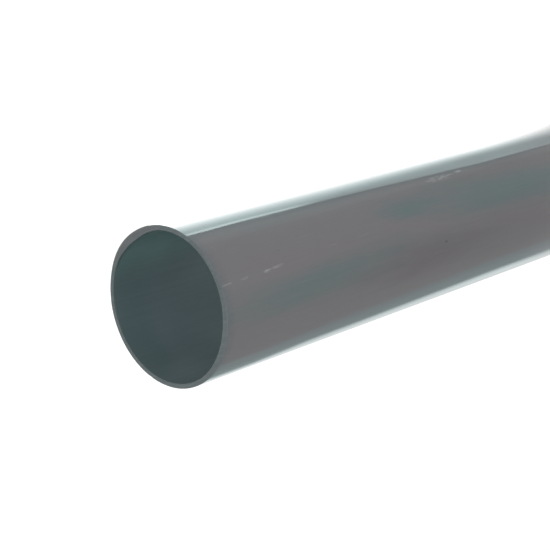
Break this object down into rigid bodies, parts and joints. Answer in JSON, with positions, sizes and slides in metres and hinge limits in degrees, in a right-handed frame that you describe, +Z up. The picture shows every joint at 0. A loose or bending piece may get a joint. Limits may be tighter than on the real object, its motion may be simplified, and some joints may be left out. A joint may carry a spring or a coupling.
{
  "type": "downpipe",
  "caption": "Straight round plastic pipe with plain square-cut ends, which carries rainwater down a wall from a gutter.",
  "frame": {"origin": "the middle of the pipe's lower end, on the floor plane", "axes": "+Z up along the pipe's axis, towards the end that the picture shows; X and Y are any two directions across the round section"},
  "size_m": [0.11, 0.11, 1],
  "materials": {
    "pvc": "smooth extruded grey PVC, semi-gloss, darker and duller in the bore"
  },
  "bodies": {
    "root": {"pipe": "pvc"}
  },
  "joints": []
}
